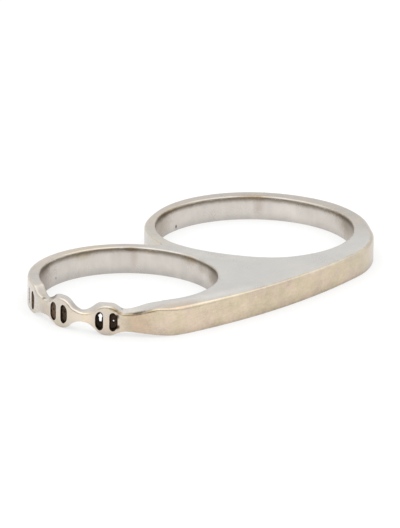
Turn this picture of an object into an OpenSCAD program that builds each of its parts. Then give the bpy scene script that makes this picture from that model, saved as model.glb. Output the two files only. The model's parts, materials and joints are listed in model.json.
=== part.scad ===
// A ring for two neighbouring fingers, cast in one piece of white metal. It lies on its side: both finger
// holes run straight up, +X goes from the small hole to the large one, and the bowed front bar faces -Y.
// The layout is worked out from the small hole's axis, and the whole is then moved to stand on its middle.

/* [Finger holes] */
// Radius of the small finger hole
small_r = 8.05; // [7.6:0.05:8.6]
// Radius of the large finger hole
large_r = 9.25; // [8.8:0.05:9.8]
// Metal left between the two holes where they come closest
web_w = 1.45; // [1.2:0.05:1.8]
// Width of the bevel round the rims of both holes
rim_bevel = 0.12; // [0.05:0.01:0.2]

/* [Walls] */
// Thickness of the small loop's wall
small_wall = 1.1; // [1:0.05:1.4]
// Thickness of the large loop's wall on average
large_wall = 1.1; // [1:0.05:1.3]
// How far the large loop's outer wall is set off to the right, which makes it thicker there
large_set_off = 0.2; // [0:0.05:0.4]
// Radius of the solder that fills the notch between the loops at the back
notch_r = 0.6; // [0.3:0.1:1]

/* [Height] */
// Height of the band at the small hole's axis
band_h = 2.6; // [2.5:0.05:2.9]
// Angle at which the top face falls away to the right
fall_right = 0.65; // [0:0.05:1]
// Angle at which the top face falls away to the back
fall_back = 0.8; // [0:0.05:1]

/* [Front bar] */
// Radius of the bar's long bowed face
bow_r = 57; // [50:1:70]
// Where the bowed face reaches furthest forward, measured to the right of the small hole's axis
bow_x = 14.5; // [13:0.1:16]
// How far forward the bowed face reaches from the line through both axes
bow_y = 11.95; // [11.5:0.05:12.5]
// Radius of the bar's left end in plan
left_end_r = 6; // [5:0.1:7]
// Where the left end begins, measured to the left of the small hole's axis
left_end_x = 4; // [3:0.1:5]
// Radius of the bar's right end in plan
right_end_r = 8.9; // [8.4:0.1:9.3]
// Centre of the right end, measured to the right of the small hole's axis
right_end_x = 18.4; // [17.8:0.1:18.8]

/* [Pierced links] */
// Number of round links
link_n = 3; // [2:1:4]
// Diameter of a link
link_d = 2.78; // [2.6:0.02:2.9]
// Direction of the link next to the bar, in degrees round the small hole
link_start = 206; // [200:1:210]
// Angle from one link to the next
link_step = 30.2; // [28:0.1:34]
// Height of the neck nearest the bar at its thinnest
neck_h = 0.8; // [0.6:0.05:1.2]
// How much higher each further neck is than the one before it
neck_growth = 0.5; // [0:0.05:0.6]
// Width of a slot
slot_w = 0.7; // [0.5:0.05:0.8]
// Height of a slot
slot_h = 1.7; // [1.4:0.05:1.8]
// Distance between the middles of a link's two slots
slot_gap = 1.32; // [1.2:0.02:1.4]

/* [Neck at the bar] */
// Direction in which the bar's own neck is thinnest
bar_neck_at = 216; // [215:1:219]
// Height of the bar's own neck at its thinnest
bar_neck_h = 1.5; // [1.2:0.05:1.8]
// Length over which that neck flares to the bar's full height
flare_l = 3.7; // [3:0.1:4.5]

/* [Hidden] */
$fn = 144;

// Walls and centres in plan
small_outer_r = small_r + small_wall;
large_x = small_r + web_w + large_r;
large_outer_r = large_r + large_wall;
large_outer_c = [large_x + large_set_off, 0];

// The bowed face is one arc, and both ends of the bar are arcs tangent to it from inside
bow_c = [bow_x, bow_r - bow_y];
left_touch = on_bow(-left_end_x);
left_end_c = left_touch + left_end_r * unit(bow_c - left_touch);
right_end_c = [right_end_x, bow_c.y - sqrt(pow(bow_r - right_end_r, 2) - pow(right_end_x - bow_x, 2))];

// Direction of the straight stretch that is tangent to the large loop and to the bar's right end
between_ends = right_end_c - large_outer_c;
side_dir = atan2(between_ends.y, between_ends.x)
    + acos((large_outer_r - right_end_r) / norm(between_ends));

// The fill of the notch touches both outer walls from outside
to_small = small_outer_r + notch_r;
to_large = large_outer_r + notch_r;
notch_x = (pow(to_small, 2) - pow(to_large, 2) + pow(large_outer_c.x, 2)) / (2 * large_outer_c.x);
notch_c = [notch_x, sqrt(pow(to_small, 2) - pow(notch_x, 2))];

// The links and the necks share one middle line; half_step is half the way from one link to the next
link_z = link_d / 2 + 0.01;
half_step = small_outer_r * link_step * PI / 360;
// Length and height of the block that a neck between two links is hollowed from
neck_block = [1.1 * link_d, 0.79 * link_d];
// How much larger a neck's hollows are than ones that would only touch the links
hollow_ease = 1.06;
// How far the bar's own neck runs into the link beside it
into_link = 0.6 * link_d;
// Radius round a link's middle within which its slots stay
slot_field_r = 0.39 * link_d;

// Height that every shape has before the top is cut, and how far a cut runs past what it cuts
tall = 4;
past = 1;
// Step of a few thousandths where one wall would otherwise only touch the next
hair = 0.004;

// Directions between which the band is cut away to links and necks: from just past the middle of the last
// link to where the bar has its full height again
cut_from = link_start - (link_n - 1) * link_step + 1;
cut_to = bar_neck_at + asin(flare_l / small_outer_r);

// Middle of the ring's outline in plan, which is moved to the origin
left_most = -small_outer_r;
right_most = large_outer_c.x + large_outer_r;
middle = [(left_most + right_most) / 2, (large_outer_r - bow_y) / 2];

function unit(v) = v / norm(v);
function polar(r, angle) = [r * cos(angle), r * sin(angle)];
function on_bow(x) = [x, bow_c.y - sqrt(pow(bow_r, 2) - pow(x - bow_x, 2))];
// Half the height of the bar's own neck at a distance from its thinnest place: a smooth swing outwards
function flare(u) = bar_neck_h / 2 + (link_z - bar_neck_h / 2) * (1 - cos(180 * u / flare_l)) / 2;

// The whole body with the finger holes still closed, taller than the ring
module blank() {
    upright() {
        circle(small_outer_r);
        translate(left_end_c) circle(left_end_r + hair);
        translate(right_end_c) circle(right_end_r + hair);
        translate(large_outer_c) circle(large_outer_r);
        bar_and_web();
        straight_side();
        notch_fill();
    }
}

// Gives each flat shape its own upright walls
module upright() {
    for (i = [0:$children - 1]) linear_extrude(tall) children(i);
}

// Everything between the two loops, bounded at the front by the bowed face
module bar_and_web() {
    right_touch = on_bow(bow_c.x + (right_end_c.x - bow_c.x) * bow_r / (bow_r - right_end_r));
    intersection() {
        translate(bow_c) circle(bow_r, $fn = 720);
        polygon([
            [0, 0], left_end_c, left_touch + unit(left_touch - bow_c),
            right_touch + unit(right_touch - bow_c), right_end_c, large_outer_c
        ]);
    }
}

// The flat that joins the large loop's outer wall to the bar's right end
module straight_side() {
    polygon([
        large_outer_c, large_outer_c + polar(large_outer_r + hair, side_dir),
        right_end_c + polar(right_end_r + 2 * hair, side_dir), right_end_c
    ]);
}

// The metal at the bottom of the notch between the loops
module notch_fill() {
    inside_wall = notch_r + 5 * hair;
    difference() {
        polygon([
            [notch_c.x, 0],
            notch_c + inside_wall * unit(-notch_c),
            notch_c + inside_wall * unit(large_outer_c - notch_c)
        ]);
        translate(notch_c) circle(notch_r - hair);
    }
}

// Stands a flat shape upright, facing outwards in the given direction, and runs it through the wall
module through_wall(angle) {
    rotate([0, 0, angle]) translate([small_r - past, 0, link_z]) rotate([90, 0, 90])
        linear_extrude(small_wall + 3 * past) children();
}

// The neck between two links: a short block with a round hollow above and below
module link_neck_shape(height) {
    r = link_d / 2;
    half = height / 2;
    hollow_r = hollow_ease * (pow(half_step, 2) + pow(half, 2) - pow(r, 2)) / (2 * (r - half));
    difference() {
        square(neck_block, center = true);
        for (side = [-1, 1]) translate([0, side * (half + hollow_r)]) circle(hollow_r);
    }
}

// The bar's own neck, which flares to the bar's full height on one side and runs on past it
module bar_neck_shape() {
    steps = 10;
    swing = [for (i = [0:steps]) [flare_l * i / steps, flare(flare_l * i / steps)]];
    upper = concat([[-into_link, bar_neck_h / 2]], swing, [[flare_l + past, tall]]);
    polygon(concat(upper, [for (i = [len(upper) - 1:-1:0]) [upper[i].x, -upper[i].y]]));
}

// What is cut from the small loop so that only the links and the necks are left there
module round_the_links() {
    reach = 2 * small_outer_r;
    difference() {
        translate([0, 0, -past]) linear_extrude(tall + 2 * past)
            polygon([[0, 0], polar(reach, cut_from), polar(reach, link_start), polar(reach, cut_to)]);
        for (i = [0:link_n - 1])
            through_wall(link_start - i * link_step) circle(link_d / 2);
        for (i = [1:link_n - 1])
            through_wall(link_start - (i - 0.5) * link_step)
                link_neck_shape(neck_h + (i - 1) * neck_growth);
        through_wall(bar_neck_at) bar_neck_shape();
    }
}

// Two upright slots, one on each side of a link's middle bar
module link_slots(angle) {
    straight = slot_h - slot_w;
    through_wall(angle) intersection() {
        circle(slot_field_r);
        for (side = [-1, 1]) translate([side * slot_gap / 2, 0]) {
            square([slot_w - 2 * hair, straight], center = true);
            for (end = [-1, 1]) translate([0, end * straight / 2]) circle(slot_w / 2);
        }
    }
}

// One finger hole with bevelled rims; the upper rim follows the sloping top face
module finger_hole(x, r) {
    translate([x, 0, -past]) cylinder(r = r, h = tall + 2 * past);
    translate([x, 0, 0]) mirror([0, 0, 1]) rim_cone(r);
    translate([x, 0, band_h - x * tan(fall_right)]) tilt() rim_cone(r);
}

// A cone that bevels the rim of a hole whose end is at height 0
module rim_cone(r) {
    half = 3 * rim_bevel;
    translate([0, 0, -half])
        cylinder(r1 = r + rim_bevel - half, r2 = r + rim_bevel + half, h = 2 * half);
}

// Leans a flat thing the way that the top face leans
module tilt() {
    rotate([-fall_back, fall_right, 0]) children();
}

// Everything above the sloping top face
module above_top() {
    span = 200;
    translate([0, 0, band_h]) tilt() translate([-span / 2, -span / 2, 0]) cube([span, span, tall]);
}

module ring() {
    color("#d9d2c4") translate([-middle.x, -middle.y, 0]) difference() {
        blank();
        above_top();
        round_the_links();
        finger_hole(0, small_r);
        finger_hole(large_x, large_r);
        for (i = [0:link_n - 1]) link_slots(link_start - i * link_step);
    }
}

ring();
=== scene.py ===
import json
import math

import bmesh
import bpy
import numpy as np
from mathutils import Matrix, Vector


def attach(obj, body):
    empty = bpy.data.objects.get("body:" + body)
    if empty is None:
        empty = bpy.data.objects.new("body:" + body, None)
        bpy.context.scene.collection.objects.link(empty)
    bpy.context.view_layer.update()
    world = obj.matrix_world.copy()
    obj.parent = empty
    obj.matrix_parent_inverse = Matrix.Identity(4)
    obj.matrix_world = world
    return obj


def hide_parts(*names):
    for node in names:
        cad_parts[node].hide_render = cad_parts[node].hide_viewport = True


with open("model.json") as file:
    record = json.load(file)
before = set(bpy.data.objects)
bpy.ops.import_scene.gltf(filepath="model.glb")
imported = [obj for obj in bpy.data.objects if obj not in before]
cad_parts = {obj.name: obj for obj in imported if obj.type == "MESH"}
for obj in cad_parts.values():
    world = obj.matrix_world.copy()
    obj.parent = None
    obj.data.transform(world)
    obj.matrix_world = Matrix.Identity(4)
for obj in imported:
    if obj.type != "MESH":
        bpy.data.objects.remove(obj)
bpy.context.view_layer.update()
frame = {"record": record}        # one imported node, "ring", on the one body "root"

mm = 0.001

# A ring for two fingers, lying on its side. All shapes are worked out in millimetres from the small
# finger hole's axis, and moved into the frame at the end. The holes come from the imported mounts.
mounts = {m["name"]: m for m in frame["record"]["mounts"]}
smallHole = mounts["small_finger_hole"]
largeHole = mounts["large_finger_hole"]
smallAxis = np.array(smallHole["pos_m"][:2]) / mm
largeAxis = np.array(largeHole["pos_m"][:2]) / mm - smallAxis

# The ring: lengths in millimetres, and directions in degrees round the hole that they belong to. A pair
# is where a change begins and where it is complete.
twoFingerRing = {
    "plan": {
        "smallR": smallHole["dims"]["r_mm"],
        "largeR": largeHole["dims"]["r_mm"],
        "smallWall": 1.1,
        "largeWall": 1.1,
        "largeSetOff": 0.2,  # thicker wall on the right
        "notchR": 0.6,  # solder at the bottom of the notch between the loops
        "bowR": 57.0,  # the bar's long bowed face
        "bowX": 14.5,
        "bowY": 12.0,
        "leftEndR": 6.0,
        "leftEndX": -3.4,
        "rightEndR": 8.9,
        "rightEndX": 18.4,
        "blend": 0.4,  # how softly one wall runs into the next
    },
    "filing": {
        # where the large loop's outer wall was filed fuller or thinner by hand
        "largeOuter": [
            {"at": -40, "more": 0.35, "spread": 17},
            {"at": -3, "more": 0.31, "spread": 26},
            {"at": 50, "more": 0.2, "spread": 28},
            {"at": 106, "more": -0.15, "spread": 16},
            {"at": 131, "more": 0.08, "spread": 12},
        ],
        # where each finger hole's wall was left full
        "smallHole": {"at": 234, "more": 0.33, "spread": 26},
        "largeHole": {"at": 193, "more": 0.42, "spread": 25},
    },
    "height": {
        "band": 2.6,  # at the small hole's axis
        "fallRight": 0.65,  # in degrees
        "fallBack": 0.6,
        "most": 2.83,
        "mostSoft": 0.03,
        # hand finishing left the top face higher in front of the small hole, at the web and along the
        # back, and it falls away before the bar's front edge
        "front": 0.14,
        "frontX": (1, 9),
        "frontY": (-6.5, -4.2),
        "frontInside": (0.3, 1.9),
        "web": 0.12,
        "webEnds": 10.8,
        "webFrom": (150, 176),
        "webTo": (205, 240),
        "back": 0.1,
        "backY": (0, 6.5),
        "fall": 0.13,
        "fallWidth": 1.3,
        "fallX": (-9, -4),
    },
    "links": {
        # from the bar on: the middles of a link and of its two slots, and how much lower the slots are
        "places": [
            {"at": 206.4, "slotsAt": 206.1, "slotsLow": 0.05},
            {"at": 176.6, "slotsAt": 175.2, "slotsLow": 0.04},
            {"at": 146.6, "slotsAt": 144.2, "slotsLow": 0.17},
        ],
        "d": 2.78,
        "broad": 1.05,  # how much wider than high a link is
        "slotW": 0.7,
        "slotH": 1.7,
        "slotGap": 1.32,
        "slotField": 1.09,  # the slots stay this near to the link's middle
        "slotSoft": 0.12,
        "slotEdge": 0.06,  # rounding of a slot's rim
        "cellReach": 1.24,  # half width of the faces round a link's slots
        "topMore": 0.08,  # the top face stands higher along the links
        "topFrom": (149, 156),
        "topTo": (222, 236),
        "topSoft": 0.06,
        "bottomSoft": 0.1,
        "sharpFrom": (128, 142),  # where edges are sharper and stations closer together
        "sharpTo": (238, 250),
    },
    "necks": {
        # half heights above and below the links' middle line; the bar's own neck comes first
        "places": [
            {"at": 217.0, "up": 0.74, "down": 0.95},
            {"at": 191.3, "up": 0.43, "down": 0.42},
            {"at": 162.5, "up": 0.56, "down": 0.82},
        ],
        "flareLength": {"up": 3.6, "down": 5.2},
        "dip": 0.12,  # the necks' outer face lies behind the links'
        "dipBeside": (1.1, 1.7),
        "dipFrom": (148, 158),
        "dipTo": (216, 232),
    },
    # the links weren't cut square to the wall: how far they lean towards the back inside the hole, in
    # degrees, and how much higher the top is there
    "leaning": {
        "at": [134, 147, 163, 177, 206, 217, 240],
        "lean": [0, -2.0, -4.6, -3.2, -1.5, 0, 0],
        "riseAt": [190, 198, 206, 212, 218, 228, 237],
        "rise": [0, 0.12, 0.13, 0.06, 0.16, 0.14, 0],
        "widen": 1.3,
        "widenTo": 15.1,  # half way from one link to the next
    },
    "edges": {
        "outerTop": 0.24,
        "outerBottom": 0.13,
        "rimTop": 0.18,
        "rimBottom": 0.06,
        "atLinks": 0.18,
        "rimLoss": 0.5,  # how much of the holes' wall tint and painted shading their rims lose
        "barStart": {"at": 250, "more": 0.1, "spread": 22},
        "rightEnd": {"at": -45, "more": 0.3, "spread": 18},
    },
    "mesh": {
        "step": 0.22,  # distance between stations along the outer wall
        "linkStep": 0.07,  # the same along the links
        "fineSteps": 20001,  # places at which the walls are measured
        "edgeSteps": 5,
        "dividerSteps": 38,
        "wallRows": 13,
        "sheetRows": 12,
        "sheetMargin": 0.02,  # rows close to each edge, for flat shading
        "cellRings": 5,
        "cellCrowding": 1.5,  # crowds the rings beside a slot
        "slotEdgeSteps": 4,
        "slotRows": 6,
        "nudge": 1e-4,  # turn in radians for measuring slopes
        "merge": 0.002,
    },
    # how far the plating has worn down to the warmer gold, and how bright the painted highlight on the
    # outer top edge is: directions, and the share at each
    "wear": {
        "smallOuter": (
            [20, 80, 118, 140, 180, 206, 224, 250, 310],
            [0.3, 0.3, 0.3, 0.42, 0.52, 0.5, 0.85, 1, 1],
        ),
        "smallTop": (
            [22, 60, 110, 140, 215, 240, 260, 345, 382],
            [0.25, 0.55, 0.5, 0.35, 0.25, 0.15, 0.05, 0.05, 0.25],
        ),
        "smallRub": ([206, 214, 240, 260], [1, 0.1, 0.2, 1]),
        "largeOuter": (
            [-131, -110, -90, -65, -45, -25, 0, 60, 160],
            [1, 0.9, 0.73, 0.48, 0.38, 0.32, 0.3, 0.3, 0.35],
        ),
        "largeTop": (
            [-131, -75, -45, -20, 20, 60, 130, 160, 192],
            [0.05, 0.1, 0.36, 0.5, 0.4, 0.42, 0.45, 0.25, 0.05],
        ),
        "largeRub": ([-128, -116, -88, -72, 20, 60], [1, 1.9, 1.9, 0.1, 0.3, 1]),
    },
}
plan, filing, height, links, necks, leaning, edges, mesh, wear = twoFingerRing.values()


def softMax(a, b, soft):
    # the larger of two numbers, with a parabola of that width where they cross
    return np.maximum(a, b) + np.maximum(soft - np.abs(a - b), 0) ** 2 / (4 * soft)


def softMin(a, b, soft):
    # the smaller one, in the same way
    return -softMax(-a, -b, soft)


def rise(x, low, high):
    # 0 below low, 1 above high and the smooth cubic 3 t^2 - 2 t^3 between
    t = np.clip((x - low) / (high - low), 0, 1)
    return t * t * (3 - 2 * t)


def swell(phi, place):
    # a smooth swell round one direction: more times e^-(angle to it / spread)^2
    return place["more"] * np.exp(-((phi - place["at"]) / place["spread"]) ** 2)


def unit(v):
    # the vector divided by its length
    return v / np.linalg.norm(v)


def ray(phi):
    # cos and sin of each direction
    return np.stack([np.cos(phi), np.sin(phi)], -1)


def reach(phi, centre, radius, side=1):
    # distance along a ray from the origin to a circle: b + or - sqrt(b^2 - c^2 + r^2), where b is the
    # centre's distance along the ray and c its distance from the origin
    b = ray(phi) @ centre
    return b + side * np.sqrt(np.maximum(b * b - centre @ centre + radius ** 2, 0))


def direction(point):
    # angle of a point seen from the origin
    return math.atan2(point[1], point[0])


smallOuter = plan["smallR"] + plan["smallWall"]
largeOuter = plan["largeR"] + plan["largeWall"]
largeCentre = largeAxis + [plan["largeSetOff"], 0]
bowCentre = np.array([plan["bowX"], plan["bowR"] - plan["bowY"]])


def onBow(x):
    # the bowed face at x: its centre's y - sqrt(r^2 - (x - centre's x)^2)
    return np.array([x, bowCentre[1] - math.sqrt(plan["bowR"] ** 2 - (x - plan["bowX"]) ** 2)])


# Both ends of the bar are arcs that touch the bowed face from inside
leftTouch = onBow(plan["leftEndX"])
leftEnd = leftTouch + plan["leftEndR"] * unit(bowCentre - leftTouch)
rightInner = plan["bowR"] - plan["rightEndR"]
rightEnd = np.array([
    plan["rightEndX"],
    bowCentre[1] - math.sqrt(rightInner ** 2 - (plan["rightEndX"] - plan["bowX"]) ** 2),
])
rightTouch = onBow(plan["bowX"] + (plan["rightEndX"] - plan["bowX"]) * plan["bowR"] / rightInner)

# The notch's round bottom touches both outer walls
toSmall = smallOuter + plan["notchR"]
toLarge = largeOuter + plan["notchR"]
notchX = (toSmall ** 2 - toLarge ** 2 + largeCentre[0] ** 2) / (2 * largeCentre[0])
notch = np.array([notchX, math.sqrt(toSmall ** 2 - notchX ** 2)])
notchBottom = notch - [0, plan["notchR"]]
frontMeet = onBow(notchX)

linkR = links["d"] / 2
linkAt = np.radians([place["at"] for place in links["places"]])
slotsAt = np.radians([place["slotsAt"] for place in links["places"]])


def nearestLink(u):
    # distance along the unrolled outer wall to the nearest link's middle, narrowed as the links are broad
    return np.abs(u[..., None] - linkAt * smallOuter).min(-1) / links["broad"]


def smallReach(phi):
    # outer wall round the small hole, as a distance from its axis: the larger of a circle and the bar's
    # left end or bowed face, less the dip between the links, and in the notch the notch's near side
    end = reach(phi, leftEnd, plan["leftEndR"])
    bow = reach(phi, bowCentre, plan["bowR"])
    bar = np.where(phi > direction(leftTouch) + 2 * math.pi, bow, end)
    wall = softMax(smallOuter + 0 * phi, bar, plan["blend"])
    degrees = np.degrees(phi)
    dip = rise(nearestLink(phi * smallOuter), *necks["dipBeside"]) * rise(degrees, *necks["dipFrom"])
    wall = wall - necks["dip"] * dip * (1 - rise(degrees, *necks["dipTo"]))
    return np.where(phi < direction(notch), reach(phi, notch, plan["notchR"], -1), wall)


def largeReach(phi):
    # the same round the large hole: the larger of the set-off circle and the bowed face or the bar's
    # right end, plus the swells of its hand filing
    touch = direction(notch + plan["notchR"] * unit(largeCentre - notch) - largeAxis)
    bow = reach(phi, bowCentre - largeAxis, plan["bowR"])
    end = reach(phi, rightEnd - largeAxis, plan["rightEndR"])
    wall = reach(phi, largeCentre - largeAxis, largeOuter)
    bar = np.where(phi < direction(rightTouch - largeAxis), bow, end)
    wall = softMax(wall, bar, plan["blend"])
    for place in filing["largeOuter"]:
        wall = wall + swell(np.degrees(phi), place)
    return np.where(phi > touch, reach(phi, notch - largeAxis, plan["notchR"], -1), wall)


def topPlane(xy):
    # the top face: band - x tan(fallRight) - y tan(fallBack) + front + web + back - fall, and no higher
    # than most, where each of the last four is a height times a smooth step at each of its borders
    x, y = xy[..., 0], xy[..., 1]
    plane = (height["band"] - x * math.tan(math.radians(height["fallRight"]))
             - y * math.tan(math.radians(height["fallBack"])))
    inside = plan["bowR"] - np.hypot(x - bowCentre[0], y - bowCentre[1])
    front = height["front"] * (1 - rise(x, *height["frontX"])) * (1 - rise(y, *height["frontY"]))
    front = front * rise(inside, *height["frontInside"])
    offset = xy - largeAxis
    out = np.hypot(offset[..., 0], offset[..., 1])
    turn = np.degrees(np.arctan2(offset[..., 1], offset[..., 0])) % 360
    web = height["web"] * (1 - rise(out, plan["largeR"], height["webEnds"]))
    web = web * rise(turn, *height["webFrom"]) * (1 - rise(turn, *height["webTo"]))
    back = height["back"] * rise(y, *height["backY"])
    fall = height["fall"] * (1 - rise(inside, 0, height["fallWidth"]))
    fall = fall * rise(x, *height["fallX"])
    return softMin(plane + front + web + back - fall, height["most"], height["mostSoft"])


def halfHeight(phi, side):
    # half height of the links and necks, above or below their middle line, at a place u on the unrolled
    # outer wall: sqrt(r^2 - u^2) on a link, and neck + R - sqrt(R^2 - u^2) on each side of a neck, where
    # R is the radius of a hollow circle that touches the link there
    u = phi * smallOuter
    half = np.sqrt(np.maximum(linkR ** 2 - nearestLink(u) ** 2, 0))
    for neck in necks["places"]:
        middle = math.radians(neck["at"]) * smallOuter
        for way in (-1, 1):
            gaps = way * (linkAt * smallOuter - middle) / links["broad"]
            if gaps.max() < 0:
                continue
            gap = gaps[gaps > 0].min()
            hollowR = (gap ** 2 + neck[side] ** 2 - linkR ** 2) / (2 * (linkR - neck[side]))
            touch = gap * (1 - linkR / (linkR + hollowR))
            off = way * (u - middle) / links["broad"]
            hollow = neck[side] + hollowR - np.sqrt(np.maximum(hollowR ** 2 - off ** 2, 0))
            half = np.where((off >= 0) & (off < touch), hollow, half)
    # past the bar's own neck it swings out to the whole bar's by (1 - cos) / 2, and grows on past the cut
    bar = necks["places"][0]
    past = u - math.radians(bar["at"]) * smallOuter
    length = necks["flareLength"][side]
    share = (1 - np.cos(math.pi * np.clip(past / length, 0, 1))) / 2
    flare = bar[side] + (linkR - bar[side]) * share + np.maximum(past - length, 0) ** 2
    half = np.where(past > 0, flare, half)
    before = linkAt[-1] * smallOuter - u
    return np.where(before > 0, linkR + before ** 2, half)


def smallTop(phi, xy, inward=0.0):
    # the lower of the top face and the links' own top, link r + half height + lift, where inward is 0 on
    # the outer wall and 1 on the hole's
    degrees = np.degrees(phi)
    free = rise(degrees, *links["topFrom"]) * (1 - rise(degrees, *links["topTo"]))
    lift = inward * np.interp(degrees, leaning["riseAt"], leaning["rise"])
    ownTop = linkR + halfHeight(phi, "up") + lift
    return softMin(topPlane(xy) + links["topMore"] * free, ownTop, links["topSoft"])


def smallBottom(phi):
    # the higher of the table and the links' own bottom, which is link r - half height
    return softMax(0 * phi, linkR - halfHeight(phi, "down"), links["bottomSoft"])


def leanAt(phi):
    # how far round the hole's wall lies from the outer wall's direction: the leaning of the links, plus
    # widen (outer r / inner r - 1) times the way from the link's middle, fading towards the necks
    degrees = np.degrees(phi)
    tilt = np.interp(degrees, leaning["at"], leaning["lean"])
    away = degrees[..., None] - np.degrees(linkAt)
    away = np.take_along_axis(away, np.abs(away).argmin(-1)[..., None], -1)[..., 0]
    fade = np.maximum(1 - (away / leaning["widenTo"]) ** 2, 0)
    widen = leaning["widen"] * (smallOuter / plan["smallR"] - 1) * away * fade
    return np.radians(tilt + widen)


def wallAt(loop, phi):
    # point on the outer wall, axis + reach times ray, and its outward normal: the chord between two close
    # neighbours, turned by a right angle
    step = mesh["nudge"]
    ahead = loop["reach"](phi + step)[..., None] * ray(phi + step)
    behind = loop["reach"](phi - step)[..., None] * ray(phi - step)
    along = (ahead - behind) / np.linalg.norm(ahead - behind, axis=-1, keepdims=True)
    point = loop["axis"] + loop["reach"](phi)[..., None] * ray(phi)
    return point, np.stack([along[..., 1], -along[..., 0]], -1)


def holeAt(loop, phi):
    # the same on the finger hole's wall, axis + (r - swell) times the leaning ray
    r = loop["r"] - swell(np.degrees(phi) % 360, loop["full"])
    phi = phi + loop["lean"](phi)
    return loop["axis"] + r[..., None] * ray(phi), -ray(phi)


def gridQuads(rows, columns, closed):
    # the four corners of every cell of a grid
    index = np.arange(rows * columns).reshape(rows, columns)
    if closed:
        index = np.vstack([index, index[:1]])
    a, b, c, d = index[:-1, :-1], index[1:, :-1], index[1:, 1:], index[:-1, 1:]
    return np.stack([a, b, c, d], -1).reshape(-1, 4)


def addObject(name, data):
    obj = bpy.data.objects.new(name, data)
    bpy.context.scene.collection.objects.link(obj)
    return obj


# What each point says about its finish: how far the plating is worn, how near it is to the middle of a
# rounded edge, where the painted edge highlight goes, whether it is on a finger hole's wall, how dirty it
# is, and how deep below the top edge
traitNames = ["warm", "edge", "inner", "grime", "deep"]


class Shell:
    # gathers grids of points, with the traits of each point
    def __init__(self):
        self.points = []
        self.quads = []
        self.traits = []
        self.count = 0

    def add(self, points, closed=False, keep=None, **traits):
        # closed joins the last row to the first, and keep tells which cells stay
        shape = points.shape[:2]
        quads = gridQuads(*shape, closed)
        if keep is not None:
            quads = quads[keep.ravel()]
        values = [np.broadcast_to(traits.get(name, 0.0), shape).reshape(-1) for name in traitNames]
        self.points.append(points.reshape(-1, 3))
        self.traits.append(np.stack(values, -1))
        self.quads.append(quads + self.count)
        self.count += shape[0] * shape[1]

    def piece(self, name):
        # into the frame in metres, with the grids joined at their rims and all faces outwards
        flat = (np.concatenate(self.points) + [*smallAxis, 0]) * mm
        traits = np.concatenate(self.traits).astype(np.float32)
        made = bpy.data.meshes.new(name)
        made.from_pydata(flat.tolist(), [], np.concatenate(self.quads).tolist())
        for i, trait in enumerate(traitNames):
            attribute = made.attributes.new(trait, "FLOAT", "POINT")
            attribute.data.foreach_set("value", traits[:, i].copy())
        form = bmesh.new()
        form.from_mesh(made)
        bmesh.ops.remove_doubles(form, verts=form.verts, dist=mesh["merge"] * mm)
        bmesh.ops.recalc_face_normals(form, faces=form.faces)
        openEdges = sum(not e.is_manifold for e in form.edges)
        form.to_mesh(made)
        form.free()
        made.shade_smooth()
        print(name, len(made.polygons), "faces,", openEdges, "open edges")
        return addObject(name, made)


def stationsAlong(loop):
    # directions of the stations along an outer wall, closer together where the links are: the sum of
    # length / step from the start is the same from each station to the next
    fine = np.linspace(loop["start"], loop["end"], mesh["fineSteps"])
    point, _ = wallAt(loop, fine)
    climbTop = np.abs(np.diff(loop["top"](fine, point)))
    climb = np.maximum(climbTop, np.abs(np.diff(loop["bottom"](fine))))
    length = np.hypot(np.linalg.norm(np.diff(point, axis=0), axis=1), climb)
    step = mesh["step"] + (mesh["linkStep"] - mesh["step"]) * loop["near"](fine[1:])
    cost = np.concatenate([[0], np.cumsum(length / step)])
    return np.interp(np.linspace(0, cost[-1], int(cost[-1]) + 1), cost, fine)


def edgeRadius(loop, phi, edge):
    # the edge's radius, more in one place of each outer top edge, and no more than atLinks on the links
    radius = edges[edge]
    if edge == "outerTop":
        radius = radius + swell(np.degrees(phi), loop["soft"])
    return radius + (np.minimum(radius, edges["atLinks"]) - radius) * loop["near"](phi)


def edgeRows(loop, phi, place, edge, side):
    # rows of a rounded edge, from the flat sheet to the wall: over a quarter turn b it goes in from the
    # wall by r (1 - cos b), and from the sheet, square to the sheet's own slope, by r (1 - sin b)
    turn = np.radians(np.linspace(90, 0, mesh["edgeSteps"] + 1))
    sign = -1 if side == "top" else 1

    def seat(at):
        # where the sheet ends, r inside the wall, and the sheet's height there
        point, normal = place(loop, at)
        xy = point - edgeRadius(loop, at, edge)[:, None] * normal
        inward = 1.0 if place is holeAt else 0.0
        return xy, loop["top"](at, xy, inward) if side == "top" else loop["bottom"](at)

    behind, low = seat(phi - mesh["nudge"])
    ahead, high = seat(phi + mesh["nudge"])
    slope = (high - low) / np.linalg.norm(ahead - behind, axis=1)
    point, _ = place(loop, phi)
    z = seat(phi)[1]
    lean = np.sqrt(1 + slope ** 2)
    r = edgeRadius(loop, phi, edge)[:, None]
    drop = r * (1 - np.sin(turn))
    depth = r * (1 - np.cos(turn))
    away = np.linalg.norm(point - loop["axis"], axis=1)[:, None]
    aside = -sign * drop * (slope / lean)[:, None] / away
    p, n = place(loop, phi[:, None] + aside)
    level = z[:, None] + sign * drop / lean[:, None]
    return {
        "xyz": np.dstack([p - depth[..., None] * n, level]),
        "phi": phi[:, None] + aside,
        "edge": np.sin(2 * turn) + 0 * depth,
    }


def wallGrid(loop, phi, place, topEdge, bottomEdge):
    # a wall with both its rounded edges, station by station: bottom edge, rows at equal shares of the
    # height between, top edge
    low = edgeRows(loop, phi, place, bottomEdge, "bottom")
    high = edgeRows(loop, phi, place, topEdge, "top")
    t = np.linspace(0, 1, mesh["wallRows"] + 2)[1:-1]
    between = low["phi"][:, -1:] * (1 - t) + high["phi"][:, -1:] * t
    level = low["xyz"][:, -1:, 2] * (1 - t) + high["xyz"][:, -1:, 2] * t
    straight = np.dstack([place(loop, between)[0], level])
    xyz = np.concatenate([low["xyz"], straight, high["xyz"][:, ::-1]], 1)
    return {
        "xyz": xyz,
        "deep": xyz[:, -1:, 2] - xyz[..., 2],
        "phi": np.concatenate([low["phi"], between, high["phi"][:, ::-1]], 1),
        "edge": np.concatenate([low["edge"], 0 * between, high["edge"][:, ::-1]], 1),
    }


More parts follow.
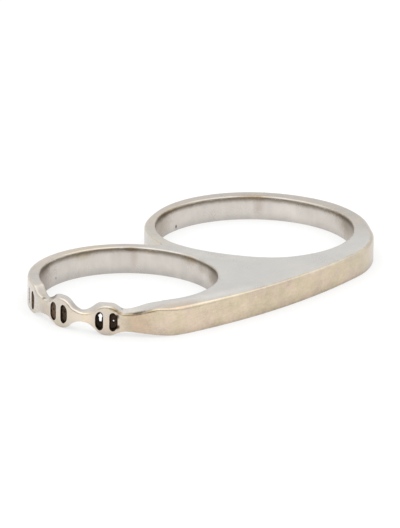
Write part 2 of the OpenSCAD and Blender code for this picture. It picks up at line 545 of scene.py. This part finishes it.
def slotReach(angle, grow, side):
    # distance from a slot's middle to its outline: upright sides, half width / |cos|, and a half circle
    # at each end, cut by the circle round the link's middle that the slots keep within
    least = 1e-9
    half = links["slotW"] / 2 + grow
    straight = (links["slotH"] - links["slotW"]) / 2
    c, s = np.abs(np.cos(angle)), np.abs(np.sin(angle))
    flank = half / np.maximum(c, least)
    end = straight * s + np.sqrt(np.maximum(half ** 2 - (straight * c) ** 2, 0))
    field = reach(angle, np.array([-side * links["slotGap"] / 2, 0]), links["slotField"] + grow)
    return softMin(np.where(flank * s <= straight, flank, end), field, links["slotSoft"])


def rim(a):
    # the points round a block of a grid, once each
    return np.concatenate([a[:-1, 0], a[-1, :-1], a[:0:-1, -1], a[0, :0:-1]])


def slotPatch(shell, loop, outer, inner, cell, slot):
    # the faces round one slot, in front and behind, and the slot's own wall between them. A face is a
    # ring of points at slot outline (1 - v) + cell edge v from the slot's middle, and the wall lies at
    # front rim (1 - t) + back rim t.
    first, last, lowRow, highRow = cell
    block = (slice(first, last + 1), slice(lowRow, highRow + 1))
    side = slot["side"]
    faces = []
    for grid, place in ((outer, wallAt), (inner, holeAt)):
        across = (rim(grid["phi"][block]) - slot["at"]) * smallOuter
        level = rim(grid["xyz"][block][..., 2])
        up = level - slot["middle"]
        faces.append({
            "place": place,
            "angle": np.arctan2(up, across),
            "out": np.hypot(across, up),
            "top": level + rim(grid["deep"][block]),
        })
    shift = np.angle(np.exp(1j * (faces[1]["angle"] - faces[0]["angle"])))
    faces[1]["angle"] = faces[0]["angle"] + shift

    def spot(place, angle, out, depth):
        # a place on the wall, out in that direction from the slot's middle, and depth behind the face
        p, n = place(loop, slot["at"] + out * np.cos(angle) / smallOuter)
        return np.dstack([p - depth[..., None] * n, slot["middle"] + out * np.sin(angle)])

    v = (np.linspace(0, 1, mesh["cellRings"] + 1) ** mesh["cellCrowding"])[:, None]
    for face in faces:
        out = slotReach(face["angle"], links["slotEdge"], side) * (1 - v) + face["out"] * v
        points = spot(face["place"], face["angle"] + 0 * v, out, 0 * out).transpose(1, 0, 2)
        front = face["place"] is wallAt
        shell.add(points, closed=True, deep=face["top"][:, None] - points[..., 2],
                  warm=loop["warm"](slot["at"]) if front else 0.0, inner=0.0 if front else 1.0)
    turn = np.radians(np.linspace(0, 90, mesh["slotEdgeSteps"] + 1))[:, None]
    grow = links["slotEdge"] * (1 - np.sin(turn))
    depth = links["slotEdge"] * (1 - np.cos(turn))
    rounded = []
    for face in faces:
        angle = face["angle"] + 0 * turn
        rounded.append(spot(face["place"], angle, slotReach(angle, grow, side), depth + 0 * angle))
    t = np.linspace(0, 1, mesh["slotRows"] + 2)[1:-1, None, None]
    through = rounded[0][-1] * (1 - t) + rounded[1][-1] * t
    points = np.concatenate([rounded[0], through, rounded[1][::-1]])
    dark = np.concatenate([np.sin(turn[:, 0]), np.ones(len(t)), np.sin(turn[::-1, 0])])[:, None]
    shell.add(points.transpose(1, 0, 2), closed=True, warm=loop["warm"](slot["at"]),
              grime=(slot["dirt"] * dark + 0 * points[..., 0]).T)


def buildLoop(shell, loop, divider):
    # outer wall, finger hole's wall, patches round the slots, and flat sheets on top and below, which
    # are outside (1 - f) + inside f
    phi = loop["stations"]
    outer = wallGrid(loop, phi, wallAt, "outerTop", "outerBottom")
    # the line that parts the two loops closes the round of stations
    offset = divider["top"] - loop["axis"]
    spoke = np.unwrap(np.concatenate([phi[-1:], np.arctan2(offset[:, 1], offset[:, 0])]))[1:]
    allRound = np.concatenate([phi, spoke])
    inner = wallGrid(loop, allRound, holeAt, "rimTop", "rimBottom")
    rows = outer["xyz"].shape[1]
    lowRow, highRow = mesh["edgeSteps"], rows - 1 - mesh["edgeSteps"]
    keepOuter = np.ones((len(phi) - 1, rows - 1), bool)
    keepInner = np.ones((len(allRound), rows - 1), bool)
    for slot in loop["slots"]:
        far = slot["pairAt"] + slot["side"] * links["cellReach"] / smallOuter
        first, last = sorted(int(np.abs(phi - at).argmin()) for at in (slot["pairAt"], far))
        slotPatch(shell, loop, outer, inner, (first, last, lowRow, highRow), slot)
        keepOuter[first:last, lowRow:highRow] = False
        keepInner[first:last, lowRow:highRow] = False
    # the outer top edge's painted highlight, scaled by each loop's own share
    shell.add(outer["xyz"], keep=keepOuter, warm=loop["warm"](outer["phi"]), deep=outer["deep"],
              edge=outer["edge"] * loop["rub"](phi)[:, None])
    topWarm = loop["topWarm"](allRound)[:, None]
    # the rims take the top's wear, which also warms their painted edge highlight
    shell.add(inner["xyz"], closed=True, keep=keepInner, warm=topWarm * inner["edge"],
              inner=1 - edges["rimLoss"] * inner["edge"], edge=inner["edge"], deep=inner["deep"])
    margin = mesh["sheetMargin"]
    f = np.linspace(0, 1, mesh["sheetRows"])[1:-1]
    f = np.concatenate([[0, margin], f, [1 - margin, 1]])[:, None]
    for side, row in (("top", -1), ("bottom", 0)):
        outside = np.concatenate([outer["xyz"][:, row, :2], divider[side]])
        xy = outside * (1 - f[..., None]) + inner["xyz"][:, row, :2] * f[..., None]
        if side == "top":
            level = loop["top"](allRound + 0 * f, xy, f)
            deep = 0.0
        else:
            level = loop["bottom"](allRound + 0 * f)
            deep = height["band"]
        shell.add(np.dstack([xy, level]).transpose(1, 0, 2), closed=True, warm=topWarm, deep=deep)


def linkSector(phi):
    # 1 along the links and the bar's own neck, 0 elsewhere
    degrees = np.degrees(phi)
    return rise(degrees, *links["sharpFrom"]) * (1 - rise(degrees, *links["sharpTo"]))


def worn(name):
    # the wear between the listed directions, in straight steps
    at, share = wear[name]
    return lambda phi: np.interp(np.degrees(phi), at, share)


# Dark residue that fills the slots. Each lump leaves a ragged hole.
residue = {
    "thick": 0.5,
    "rough": 0.07,
    "intoWall": 0.03,
    "around": 56,
    "section": 22,
    "paleFrom": 2,  # residue this pale leaves the slot's own wall clean
    "waves": [(3, 1, 0.16), (5, 2, 0.1), (9, 3, 0.06)],  # round the hole: number, shift, height
    "lumps": [(9, 7, 1), (-6, 13, 2), (21, 17, 0)],  # waves across and up, shift from hole to hole
    # link and side of its middle, seen from outside; the hole's middle and half size across and up, as
    # shares of the slot's; depth of the residue's middle; colour from black over brown (1) to pale (2)
    "holes": [
        (0, -1, 0.36, 0.18, 0.46, 0.48, 0.62, 0.1),
        (0, 1, -0.15, -0.08, 0.26, 0.11, 0.58, 0.25),
        (1, -1, 0.0, 0.1, 0.05, 0.03, 0.38, 0.55),
        (1, 1, 0.1, 0.2, 0.05, 0.03, 0.46, 0.3),
        (2, -1, 0.0, 0.0, 0.05, 0.03, 0.32, 2.6),
        (2, 1, 0.0, -0.2, 0.05, 0.03, 0.28, 0.45),
    ],
}


def slotPlace(link, side, brown):
    # a slot's direction, the middle between it and its pair, its height and how dark its wall is
    return {
        "at": slotsAt[link] + side * links["slotGap"] / 2 / smallOuter,
        "pairAt": slotsAt[link],
        "side": side,
        "middle": linkR - links["places"][link]["slotsLow"],
        "dirt": 1.0 if brown < residue["paleFrom"] else 0.0,
    }


def allFlat(phi):
    # 0 in every direction
    return 0 * phi


def largeTop(phi, xy, inward=0.0):
    # the plain top face, inside and outside
    return topPlane(xy)


# What differs between the loops: near is 1 along the links, soft is where the outer top edge is softest,
# full is where the hole's wall was left full, and the last is how bright the outer edge's painted highlight
# is
smallLoop = {
    "axis": np.zeros(2), "r": plan["smallR"], "reach": smallReach,
    "top": smallTop, "bottom": smallBottom, "lean": leanAt,
    "start": direction(notchBottom), "end": direction(frontMeet) + 2 * math.pi,
    "near": linkSector, "slots": [slotPlace(*hole[:2], hole[-1]) for hole in residue["holes"]],
    "soft": edges["barStart"], "full": filing["smallHole"],
    "warm": worn("smallOuter"), "topWarm": worn("smallTop"), "rub": worn("smallRub"),
}
largeLoop = {
    "axis": largeAxis, "r": plan["largeR"], "reach": largeReach,
    "top": largeTop, "bottom": allFlat, "lean": allFlat,
    "start": direction(frontMeet - largeAxis), "end": direction(notchBottom - largeAxis),
    "near": allFlat, "slots": [],
    "soft": edges["rightEnd"], "full": filing["largeHole"],
    "warm": worn("largeOuter"), "topWarm": worn("largeTop"), "rub": worn("largeRub"),
}


def makeRing():
    shell = Shell()
    for loop in (smallLoop, largeLoop):
        loop["stations"] = stationsAlong(loop)
    # the line between the loops runs from the front to the bottom of the notch, on each face
    t = np.linspace(0, 1, mesh["dividerSteps"])[1:-1, None]
    divider = {}
    for side, edge in (("top", "outerTop"), ("bottom", "outerBottom")):
        seats = []
        for end in (smallLoop["end"], smallLoop["start"]):
            at = np.array([end])
            point, normal = wallAt(smallLoop, at)
            seats.append(point[0] - edgeRadius(smallLoop, at, edge)[0] * normal[0])
        divider[side] = seats[0] * (1 - t) + seats[1] * t
    buildLoop(shell, smallLoop, divider)
    buildLoop(shell, largeLoop, {side: points[::-1] for side, points in divider.items()})
    return shell.piece("two_finger_ring")


ring = makeRing()
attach(ring, "root")
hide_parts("ring")


def makeResidue():
    # a ring of lumps, round the hole by angle a and round the section by angle b: a point lies at
    # hole edge (1 - share) + slot wall share, where share is (1 + cos b) / 2
    shell = Shell()
    a = np.linspace(0, 2 * math.pi, residue["around"], endpoint=False)[:, None]
    b = np.linspace(0, 2 * math.pi, residue["section"] + 1)[None, :]
    halfW, halfH = links["slotW"] / 2, links["slotH"] / 2
    for i, (link, side, across, up, wide, high, deep, brown) in enumerate(residue["holes"]):
        slot = slotPlace(link, side, brown)
        ragged = 1
        for number, shift, waveHeight in residue["waves"]:
            ragged = ragged + waveHeight * np.sin(number * a + shift * i)
        holeX = across * halfW + wide * halfW * ragged * np.cos(a)
        holeY = up * halfH + high * halfH * ragged * np.sin(a)
        out = slotReach(a, residue["intoWall"], side)
        share = (1 + np.cos(b)) / 2
        x = holeX * (1 - share) + out * np.cos(a) * share
        y = holeY * (1 - share) + out * np.sin(a) * share
        lumps = sum(np.sin(p * x + q * y + s * i) for p, q, s in residue["lumps"]) / len(residue["lumps"])
        swelling = np.sign(np.sin(b)) * np.sqrt(np.abs(np.sin(b)))
        depth = deep - swelling * (residue["thick"] / 2 + residue["rough"] * lumps)
        phi = slot["at"] + x / smallOuter
        depth = depth[..., None] / plan["smallWall"]
        xy = wallAt(smallLoop, phi)[0] * (1 - depth) + holeAt(smallLoop, phi)[0] * depth
        points = np.dstack([xy, slot["middle"] + y])
        shell.add(points, closed=True, warm=brown)
    return shell.piece("slot_residue")


slotResidue = makeResidue()
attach(slotResidue, "root")
print("ring scene: shapes made")


class Tone:
    # a number that changes over the surface, so that shader maths reads as an expression
    def __init__(self, maker, socket):
        self.maker = maker
        self.socket = socket

    def join(self, operation, *values):
        return self.maker.number("ShaderNodeMath", {"operation": operation}, dict(enumerate(values)))

    def __add__(self, other):
        return self.join("ADD", self, other)

    __radd__ = __add__

    def __sub__(self, other):
        return self.join("SUBTRACT", self, other)

    def __rsub__(self, other):
        return self.join("SUBTRACT", other, self)

    def __mul__(self, other):
        return self.join("MULTIPLY", self, other)

    __rmul__ = __mul__

    def __pow__(self, other):
        return self.join("POWER", self, other)

    def between(self, low, high):
        # 0 up to low, 1 from high on
        settings = {"interpolation_type": "SMOOTHSTEP"}
        values = {"Value": self, "From Min": low, "From Max": high}
        return self.maker.number("ShaderNodeMapRange", settings, values, "Result")


class Maker:
    # adds nodes to one node tree
    def __init__(self, owner):
        owner.use_nodes = True
        self.tree = owner.node_tree
        self.tree.nodes.clear()

    def give(self, socket, value):
        if isinstance(value, Tone):
            value = value.socket
        if isinstance(value, bpy.types.NodeSocket):
            self.tree.links.new(value, socket)
        else:
            socket.default_value = value

    def node(self, kind, settings=None, values=None):
        made = self.tree.nodes.new(kind)
        for name, value in (settings or {}).items():
            setattr(made, name, value)
        for name, value in (values or {}).items():
            self.give(made.inputs[name], value)
        return made

    def number(self, kind, settings=None, values=None, output=0):
        return Tone(self, self.node(kind, settings, values).outputs[output])

    def trait(self, name):
        return self.number("ShaderNodeAttribute", {"attribute_name": name}, None, "Fac")

    def place(self, kind="Object"):
        return self.node("ShaderNodeTexCoord").outputs[kind]

    def axes(self, vector):
        parts = self.node("ShaderNodeSeparateXYZ", None, {0: vector})
        return [Tone(self, parts.outputs[i]) for i in range(3)]

    def vector(self, operation, values):
        return self.node("ShaderNodeVectorMath", {"operation": operation}, values).outputs[0]

    def noise(self, vector, scale, detail, roughness):
        values = {"Vector": vector, "Scale": scale, "Detail": detail, "Roughness": roughness}
        return self.number("ShaderNodeTexNoise", None, values, "Fac")

    def mix(self, mask, first, second, blend="MIX"):
        # a colour of three numbers gets its fourth here
        values = {0: mask}
        for index, value in ((6, first), (7, second)):
            values[index] = value if isinstance(value, bpy.types.NodeSocket) else (*value, 1)
        return self.node("ShaderNodeMix", {"data_type": "RGBA", "blend_type": blend}, values).outputs[2]

    def tint(self, mask, colour, factor):
        # the colour, multiplied by another one where the mask is 1
        return self.mix(mask, colour, self.mix(1.0, colour, factor, "MULTIPLY"))

    def bump(self, strength, distance, height):
        values = {"Strength": strength, "Distance": distance, "Height": height}
        return self.node("ShaderNodeBump", None, values).outputs[0]

    def finish(self, kind, values, output="ShaderNodeOutputMaterial"):
        shader = self.node(kind, None, values)
        self.tree.links.new(shader.outputs[0], self.node(output).inputs[0])


whiteGold = {
    "plated": (0.655, 0.635, 0.603),
    "bare": (0.715, 0.585, 0.458),
    "olive": (0.69, 0.59, 0.425),
    # pale gold of the rounded edges: partly rubbed bare, partly a painted highlight
    "edgeGold": (0.88, 0.79, 0.63),
    # the holes' walls: a warmer tone of their own, and darker as painted shade
    "insideTint": (0.92, 0.89, 0.87),
    # painted shade: colour of the dark line below the holes' rims
    "patina": (0.4, 0.35, 0.28),
    "grime": (0.035, 0.023, 0.014),
    "roughness": 0.3,
    "dirtRough": 0.45,
    "specular": 0.25,  # gloss of the grime in the slots
    # size in millimetres, detail, roughness
    "patterns": {
        "cloud": (3.2, 2, 0.5),
        "blotch": (0.9, 3, 0.6),
        "mottle": (1.7, 3, 0.55),
        "grain": (0.24, 3, 0.65),
        "scratch": (0.12, 2, 0.6),
        "streak": (0.8, 3, 0.6),
    },
    "stretch": {"scratch": (0.12, 0.5, 1), "streak": (1, 1, 0.14)},
    # how much each pattern adds to the wear, the olive and so on
    "wornBy": {"cloud": 0.5, "blotch": 0.45},
    "wornFrom": (0.1, 0.9),
    "oliveBy": {"grain": 0.25},
    "oliveFrom": (0.4, 0.62),
    "lineBy": {"blotch": 0.22, "grain": 0.12},
    "innerBy": {"streak": 0.18, "mottle": 0.3},
    "speckleBy": {"blotch": 0.33, "grain": 0.2, "scratch": 0.17},
    "roughBy": {"cloud": 0.14, "blotch": 0.12},
    "dirtBy": {"grain": 0.5},
    "dirtFrom": (0.25, 0.7),
    "edgeShare": 0.25,
    "polish": 0.2,  # painted highlight half way up the holes' walls, by depth in mm
    "polishFrom": (0.1, 1.0),
    "polishTo": (1.2, 2.5),
    "polishLoss": 0.45,
    # painted shade over the holes' walls
    "innerLoss": 0.1,
    "speckleLeast": 0.25,
    "cloudLeast": 0.14,
    "cloudWorn": 0.12,
    # painted shade falls on the worn gold, from the first share of wear to the second
    "dullWorn": (0.1, 0.4),
    "dullBar": 0.12,  # painted shade: how much darker the bar is in its middle, at its end and at its foot
    "dullBarX": (-12, -4),
    "dullEnd": 0.045,
    "dullEndX": (6, 10),
    "dullFoot": 0.12,
    "footZ": (0.05, 0.35),
    "dullLow": 0.16,  # painted shade as well, on all walls, by depth in mm
    "lowDepth": (1.5, 2.6),
    "lineFrom": 0.1,  # the painted shade line below the holes' rims, by depth in mm
    "lineFull": 0.24,
    "lineTo": 0.68,
    "lineInner": (0.3, 0.9),
    "lineLeast": 0.6,
    "lineCloud": 0.7,
    "bump": 0.00001,
    "bumpStrength": 0.5,
    "bumpScratch": 0.7,
    "bumpBlotch": 0.6,
    "markRagged": 0.45,
    "markCore": 0.2,
    # marks round each hole, real pits, stains and marks of wear and soldering, and painted shade,
    # highlights
    # and reflections: direction in degrees (-180 to 180), height, distance from the hole's axis, half sizes
    # along the wall, up and through it, and what multiplies the colour
    "smallMarks": [
        (94.2, 0.71, 8.05, (0.12, 0.17, 0.16), (0.42, 0.38, 0.36)),
        (37, 2.38, 8.05, (1.1, 0.3, 0.16), (0.66, 0.58, 0.46)),
        # painted reflection: a lighter patch on the hole's wall
        (25, 2.15, 8.05, (1.4, 0.6, 0.2), (1.13, 1.12, 1.11)),
        (70, 2.0, 8.05, (1.6, 0.5, 0.16), (0.92, 0.88, 0.78)),
        # painted shade: the next two darken the hole's wall below its rim
        (-5.5, 2.2, 8.05, (1.3, 0.8, 0.16), (0.8, 0.74, 0.66)),
        (-18, 1.9, 8.05, (1.0, 0.9, 0.16), (0.82, 0.79, 0.74)),
        # painted highlight: a pale spot on the top face by the notch
        (23.2, 2.55, 9.92, (0.34, 0.3, 0.22), (1.25, 1.25, 1.26)),
        (20.2, 2.55, 9.5, (0.12, 0.3, 0.12), (0.4, 0.36, 0.33)),
        (-145.4, 2.35, 8.25, (0.12, 0.3, 0.16), (0.4, 0.42, 0.46)),
        # painted shade: the next two darken one end of the hole's wall
        (112, 2.25, 8.05, (2.2, 0.7, 0.16), (0.6, 0.54, 0.46)),
        (121, 1.2, 8.05, (4.4, 2.8, 0.16), (0.5, 0.45, 0.42)),
        # painted reflection: a darker upright band on the hole's wall
        (35.2, 1.5, 8.05, (0.6, 1.3, 0.16), (0.9, 0.86, 0.84)),
        # painted shade: the hole's wall darkened at its other end
        (-38, 1.8, 8.05, (2.8, 1.9, 0.16), (0.5, 0.45, 0.39)),
        # a dark streak along the top edge where the bar starts
        (-140.6, 2.15, 9.06, (0.9, 0.26, 0.4), (0.62, 0.58, 0.53)),
        (-137.4, 2.27, 9.16, (0.8, 0.26, 0.4), (0.24, 0.22, 0.18)),
        (-134.8, 2.39, 9.25, (0.8, 0.26, 0.4), (0.25, 0.23, 0.19)),
        (-130.5, 2.48, 9.46, (1.1, 0.24, 0.4), (0.62, 0.59, 0.53)),
        (-136, 1.2, 9.25, (2.2, 2.6, 0.8), (0.85, 0.81, 0.76)),
        (-147.8, 1.86, 9.15, (0.28, 0.34, 0.3), (0.1, 0.08, 0.06)),
        (-147.5, 0.9, 9.15, (0.3, 0.34, 0.3), (0.12, 0.09, 0.07)),
        (-149.8, 2.58, 9.12, (0.6, 0.2, 0.35), (0.7, 0.62, 0.5)),
        (-147.6, 2.42, 9.13, (0.6, 0.2, 0.35), (0.52, 0.44, 0.34)),
        (-145.8, 2.24, 9.12, (0.5, 0.2, 0.35), (0.6, 0.52, 0.42)),
        (-175, 2.1, 8.5, (1.2, 0.7, 0.5), (0.8, 0.79, 0.78)),
        # painted highlight: the neck between the two links nearest the bar is lighter
        (-169, 1.4, 9.03, (1.7, 0.9, 0.5), (1.17, 1.14, 1.1)),
        (163, 1.0, 9.03, (1.5, 1.3, 0.5), (0.88, 0.85, 0.81)),
        (-112, 2.68, 9.15, (3.6, 0.5, 0.8), (0.84, 0.76, 0.69)),
        (128, 2.68, 8.6, (4.5, 0.5, 0.9), (0.91, 0.9, 0.89)),
        (154, 2.3, 8.6, (1.5, 0.8, 0.8), (0.76, 0.75, 0.74)),
        (159.7, 1.98, 8.85, (0.26, 0.2, 0.3), (0.42, 0.38, 0.34)),
        # painted highlight: a bright dot on the top of a neck
        (162.6, 1.95, 8.8, (0.22, 0.2, 0.25), (1.3, 1.3, 1.3)),
    ],
    "largeMarks": [
        (90.3, 0.4, 9.25, (0.17, 0.26, 0.2), (0.12, 0.1, 0.1)),
        # painted shade: the next two darken the hole's wall just below its rim
        (99, 2.5, 9.25, (4.0, 0.7, 0.16), (0.66, 0.6, 0.5)),
        (-20, 2.45, 9.25, (3.0, 0.7, 0.16), (0.7, 0.65, 0.58)),
        # painted reflection: a darker upright band on the hole's wall
        (35, 1.4, 9.25, (0.7, 1.4, 0.16), (0.88, 0.84, 0.81)),
        (38, 2.35, 9.25, (2.6, 0.45, 0.16), (0.74, 0.66, 0.56)),
        (38, 2.36, 9.45, (2.4, 0.3, 0.32), (0.86, 0.74, 0.62)),
        # painted reflection: a lighter patch on the hole's wall
        (20, 1.35, 9.25, (2.6, 1.4, 0.16), (1.1, 1.1, 1.11)),
        # painted shade: the next two darken one end of the hole's wall
        (115, 1.3, 9.25, (4.2, 2.6, 0.16), (0.6, 0.55, 0.49)),
        (108, 2.2, 9.25, (2.2, 0.7, 0.16), (0.7, 0.66, 0.58)),
        # painted shade: the hole's wall darkened at its other end
        (-36, 1.8, 9.25, (3.6, 2.2, 0.16), (0.5, 0.45, 0.38)),
    ],
}


def wallMap(m, x, y, z, axis):
    # place on the walls round a hole, in millimetres: along the wall, height, distance from the axis
    across = x - float(axis[0]) * mm
    along = y - float(axis[1]) * mm
    turn = along.join("ARCTAN2", along, across)
    away = (across * across + along * along) ** 0.5
    flat = {"X": turn * plan["smallR"], "Y": z * (1 / mm), "Z": away * (1 / mm)}
    return m.node("ShaderNodeCombineXYZ", None, flat).outputs[0]


def markMask(m, walls, ragged, at, z, r, size):
    # 1 in the middle of a mark and 0 outside it, with a ragged edge: the length of (place - middle) /
    # half size, which is 1 on the mark's border
    sizes = (size[0] * plan["smallR"] / r, size[1], size[2])
    middle = (math.radians(at) * plan["smallR"], z, r)
    values = {0: walls, 1: [1 / v for v in sizes], 2: [-p / v for p, v in zip(middle, sizes)]}
    scaled = m.vector("MULTIPLY_ADD", values)
    far = m.number("ShaderNodeVectorMath", {"operation": "LENGTH"}, {0: scaled}, "Value")
    return 1 - (far + ragged).between(whiteGold["markCore"], 1)


def makeWhiteGold():
    material = bpy.data.materials.new("white_gold")
    m = Maker(material)
    look = whiteGold
    place = m.place()
    warm, edge, inner, grime, depth = (m.trait(name) for name in traitNames)

    noise = {}
    for name, (size, detail, roughness) in look["patterns"].items():
        where = m.vector("MULTIPLY", {0: place, 1: look["stretch"].get(name, (1, 1, 1))})
        noise[name] = m.noise(where, 1000 / size, detail, roughness)

    def weigh(value, weights):
        # the value plus weight (noise - 0.5) for each of the patterns
        for name, weight in weights.items():
            value = value + weight * (noise[name] - 0.5)
        return value

    # worn gold shows through in soft blotches; the rounded edges turn pale gold, partly rubbed bare and
    # partly a painted highlight
    olive = weigh(noise["mottle"], look["oliveBy"]).between(*look["oliveFrom"])
    gold = m.mix(olive, look["bare"], look["olive"])
    colour = m.mix(weigh(warm, look["wornBy"]).between(*look["wornFrom"]), look["plated"], gold)
    # the holes' walls are tinted warmer as their own tone and darker as painted shade
    colour = m.tint(inner, colour, look["insideTint"])
    rubbedAndHighlight = edge * (look["edgeShare"] + look["edgeShare"] * warm * warm)
    colour = m.mix(rubbedAndHighlight, colour, look["edgeGold"])

    # painted shade: the dark line below the rims of the finger holes
    ragged = weigh(depth, look["lineBy"])
    line = ragged.between(look["lineFrom"], look["lineFull"])
    line = line * (1 - ragged.between(look["lineFull"], look["lineTo"]))
    line = line * inner.between(*look["lineInner"])
    line = line * (look["lineLeast"] + look["lineCloud"] * noise["cloud"])
    colour = m.tint(line, colour, look["patina"])

    # painted highlight and shade: the inside walls are brighter half way up and darker towards their top
    # edges
    polish = depth.between(*look["polishFrom"])
    polish = polish * (1 - look["polishLoss"] * depth.between(*look["polishTo"]))
    tone = 1 + inner * weigh(look["polish"] * polish - look["innerLoss"], look["innerBy"])
    tone = tone + (look["speckleLeast"] + warm) * weigh(0, look["speckleBy"])
    tone = tone + (look["cloudLeast"] + look["cloudWorn"] * warm) * weigh(0, {"cloud": 1})
    # painted shade: all walls are darker where they meet the table, and the bar towards its right end
    x, y, z = m.axes(place)
    along = x * (1 / mm)
    foot = 1 - (z * (1 / mm)).between(*look["footZ"])
    tone = tone - look["dullLow"] * depth.between(*look["lowDepth"])
    paintedShade = look["dullBar"] * along.between(*look["dullBarX"])
    paintedShade = paintedShade + look["dullEnd"] * along.between(*look["dullEndX"])
    paintedShade = paintedShade + look["dullFoot"] * foot
    tone = tone - paintedShade * (1 - inner) * warm.between(*look["dullWorn"])
    colour = m.vector("SCALE", {0: colour, "Scale": tone})

    ragged = weigh(0, {"grain": look["markRagged"]})
    for marks, axis in ((look["smallMarks"], smallAxis), (look["largeMarks"], smallAxis + largeAxis)):
        walls = wallMap(m, x, y, z, axis)
        for at, markZ, r, size, markTone in marks:
            colour = m.tint(markMask(m, walls, ragged, at, markZ, r, size), colour, markTone)

    dark = weigh(grime, look["dirtBy"]).between(*look["dirtFrom"])
    colour = m.mix(dark, colour, look["grime"])
    surface = noise["grain"] + look["bumpScratch"] * noise["scratch"] + look["bumpBlotch"] * noise["blotch"]
    m.finish("ShaderNodeBsdfPrincipled", {
        "Base Color": colour,
        "Metallic": 1 - dark,
        "Roughness": weigh(look["roughness"], look["roughBy"]) + look["dirtRough"] * dark,
        "Normal": m.bump(look["bumpStrength"], look["bump"], surface),
        "Specular IOR Level": look["specular"],
    })
    return material


residueFinish = {
    "black": (0.034, 0.021, 0.012),
    "brown": (0.22, 0.145, 0.088),
    "pale": (0.5, 0.47, 0.43),
    "paleFrom": (1.2, 2.4),
    "crumbs": (4200, 4, 0.65),  # number to the metre, detail, roughness
    "brownLeast": 0.4,
    "brownCrumb": 1.2,
    "bump": 0.00006,
    "bumpStrength": 0.8,
    "roughness": 0.75,
    "specular": 0.25,
}


def makeResidueFinish():
    material = bpy.data.materials.new("slot_residue")
    m = Maker(material)
    look = residueFinish
    crumb = m.noise(m.place(), *look["crumbs"])
    brown = m.trait("warm") * (look["brownLeast"] + look["brownCrumb"] * crumb)
    colour = m.mix(brown.between(0, 1), look["black"], look["brown"])
    colour = m.mix(brown.between(*look["paleFrom"]), colour, look["pale"])
    m.finish("ShaderNodeBsdfPrincipled", {
        "Base Color": colour,
        "Roughness": look["roughness"],
        "Normal": m.bump(look["bumpStrength"], look["bump"], crumb),
        "Specular IOR Level": look["specular"],
    })
    return material


ring.data.materials.append(makeWhiteGold())
slotResidue.data.materials.append(makeResidueFinish())
print("ring scene: finishes made")


floor = {
    "half": 3.0,
    "colour": (0.35, 0.35, 0.35),
    "glow": 0.65,
    "roughness": 0.9,
    "specular": 0.1,
}


def makeFloor():
    half = floor["half"]
    corners = [(-half, -half, 0), (half, -half, 0), (half, half, 0), (-half, half, 0)]
    made = bpy.data.meshes.new("floor")
    made.from_pydata(corners, [], [(0, 1, 2, 3)])
    material = bpy.data.materials.new("floor")
    m = Maker(material)
    m.finish("ShaderNodeBsdfPrincipled", {
        "Base Color": (*floor["colour"], 1),
        "Roughness": floor["roughness"],
        "Specular IOR Level": floor["specular"],
        "Emission Strength": floor["glow"],
    })
    made.materials.append(material)
    addObject("floor", made)


makeFloor()

# The camera stands as the photo's did, worked out from the two round holes. Lengths are in millimetres
# from the small hole's axis, and the focal length is in pixels of the 400 by 528 picture.
view = {
    "focalPixels": 5000.0,
    "pictureH": 528,
    "lens": 200.0,
    "distance": 463.33,
    "pitch": 19.11,
    "yaw": 52.30,
    "roll": 0.763,
    "targetX": 12.582,
    "targetY": 1.598,
    "clip": (0.01, 20),  # in metres
}


def makeCamera():
    pitch, yaw, roll = (math.radians(view[k]) for k in ("pitch", "yaw", "roll"))
    forward = Vector((math.sin(yaw) * math.cos(pitch), math.cos(yaw) * math.cos(pitch), -math.sin(pitch)))
    level = Vector((math.cos(yaw), -math.sin(yaw), 0))
    upright = level.cross(forward)
    right = math.cos(roll) * level + math.sin(roll) * upright
    up = math.cos(roll) * upright - math.sin(roll) * level
    target = Vector((view["targetX"] + smallAxis[0], view["targetY"] + smallAxis[1], 0)) * mm
    data = bpy.data.cameras.new("camera")
    data.lens = view["lens"]
    data.sensor_width = view["pictureH"] / view["focalPixels"] * view["lens"]
    data.clip_start, data.clip_end = view["clip"]
    camera = addObject("camera", data)
    turned = Matrix((right, up, -forward)).transposed()
    camera.matrix_world = Matrix.Translation(target - view["distance"] * mm * forward) @ turned.to_4x4()
    bpy.context.scene.camera = camera
    return forward


# Soft light from all round: bright above and behind the ring, with a dim room on the camera's side
light = {
    "wall": 0.88,
    "overhead": 1.45,
    "overheadUp": (0.5, 0.85),
    "room": 0.2,
    "roomTowards": (0.1, 0.85),
    "roomUp": (0.12, 0.6),
}


def makeLight(forward):
    world = bpy.data.worlds.new("studio")
    bpy.context.scene.world = world
    m = Maker(world)
    x, y, z = m.axes(m.place("Generated"))
    back = Vector((forward[0], forward[1])).normalized()
    towards = -back[0] * x - back[1] * y
    room = towards.between(*light["roomTowards"]) * (1 - z.between(*light["roomUp"]))
    level = light["wall"] + (light["overhead"] - light["wall"]) * z.between(*light["overheadUp"])
    level = level * (1 - room) + light["room"] * room
    values = {"Color": (1, 1, 1, 1), "Strength": level}
    m.finish("ShaderNodeBackground", values, "ShaderNodeOutputWorld")


makeLight(makeCamera())
bpy.context.scene.view_settings.view_transform = "Standard"
print("ring scene: stage, camera and light made")
